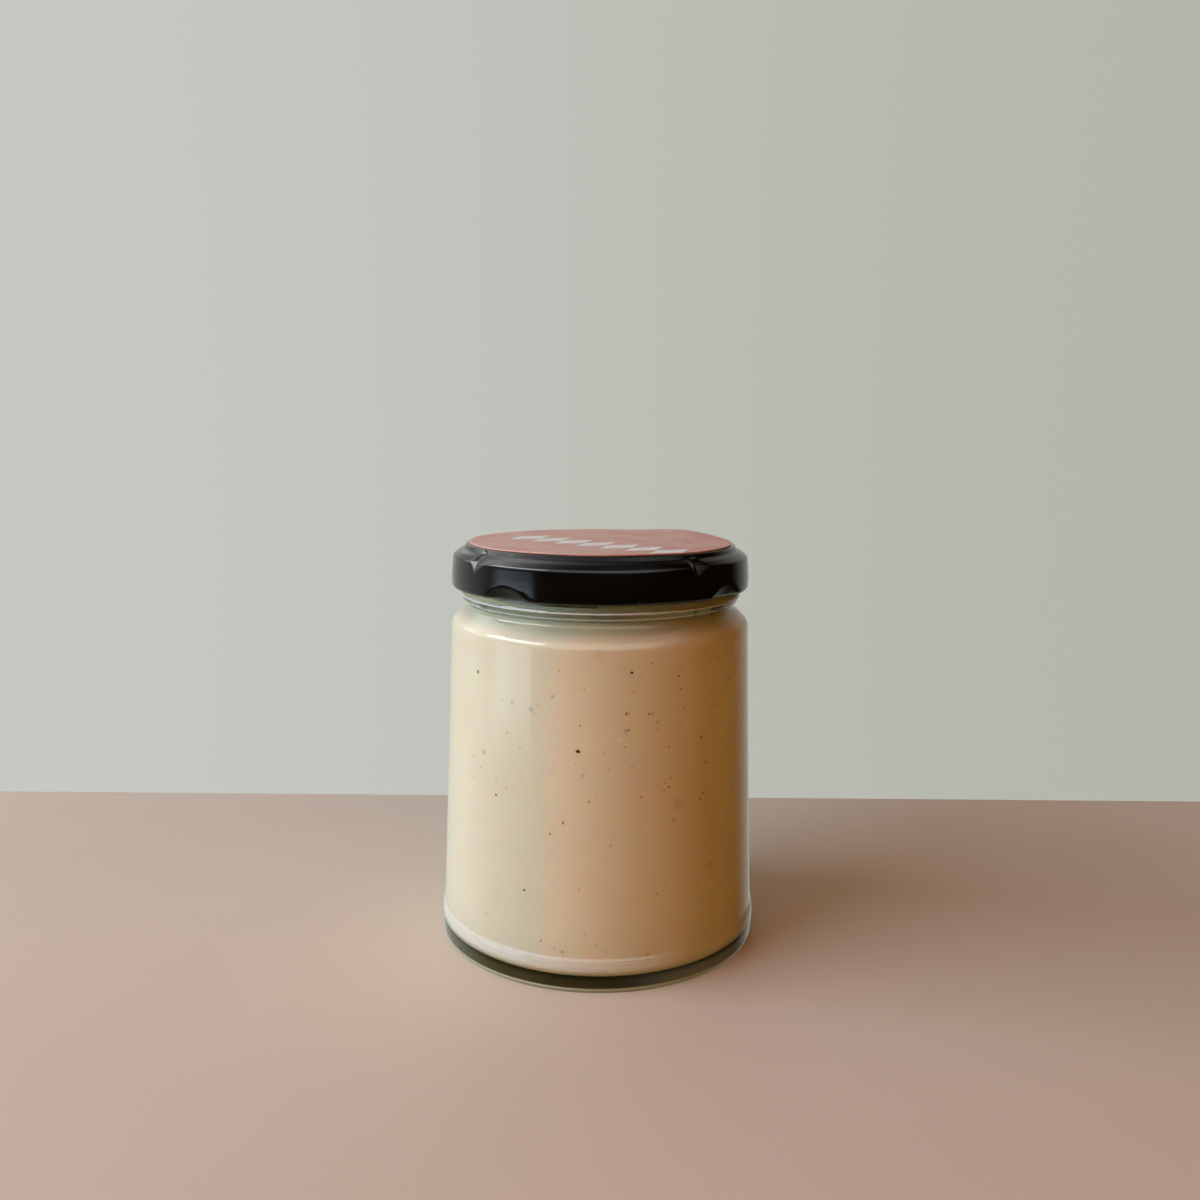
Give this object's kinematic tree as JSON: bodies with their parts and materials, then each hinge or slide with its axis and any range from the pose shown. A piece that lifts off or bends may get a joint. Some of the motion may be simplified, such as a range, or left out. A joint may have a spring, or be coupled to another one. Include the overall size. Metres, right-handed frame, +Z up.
{
  "type": "cocktail sauce jar",
  "caption": "Clear glass jar of creamy cocktail sauce, shut by a black twist-off cap with a plain red paper sticker on top.",
  "frame": {"origin": "centre of the jar's base ring, on the surface it stands on", "axes": "+Z up along the jar's axis, -Y the front of the picture, +X to its right"},
  "size_m": [0.0724, 0.0724, 0.0915],
  "materials": {
    "clear_glass": "clear, faintly green where it is thick",
    "cocktail_sauce": "creamy, opaque, with fine dark and red specks",
    "black_lacquer": "gloss black lacquer on tinplate",
    "red_paper": "satin printed paper"
  },
  "bodies": {
    "root": {"jar": "clear_glass", "sauce": "cocktail_sauce", "cap": "black_lacquer", "cap_sticker": "red_paper"}
  },
  "joints": []
}
